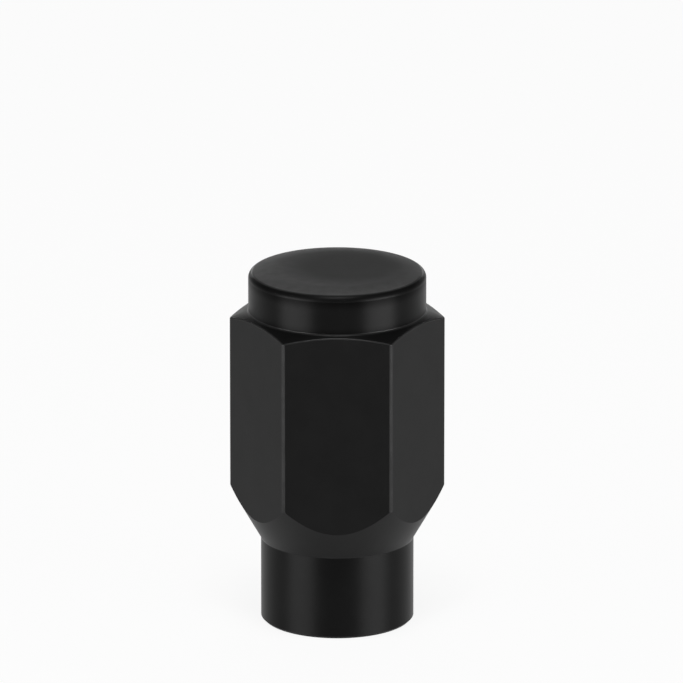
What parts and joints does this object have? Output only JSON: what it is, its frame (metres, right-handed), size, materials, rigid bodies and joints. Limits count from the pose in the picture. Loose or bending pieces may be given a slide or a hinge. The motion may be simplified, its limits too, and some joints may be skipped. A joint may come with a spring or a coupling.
{
  "type": "lug nut",
  "caption": "Closed-end wheel lug nut with a round head, hexagon body, 60 degree conical seat and extended cylindrical shank with a blind threaded hole.",
  "frame": {"origin": "centre of the shank's bottom end, on the thread axis", "axes": "+Z along the thread axis from the open end to the closed head, Y square to a pair of flats, X through two corners of the hexagon"},
  "size_m": [0.0218, 0.019, 0.0369],
  "materials": {
    "black_coat": "smooth satin black coating over steel"
  },
  "bodies": {
    "root": {"lug_nut": "black_coat"}
  },
  "joints": []
}
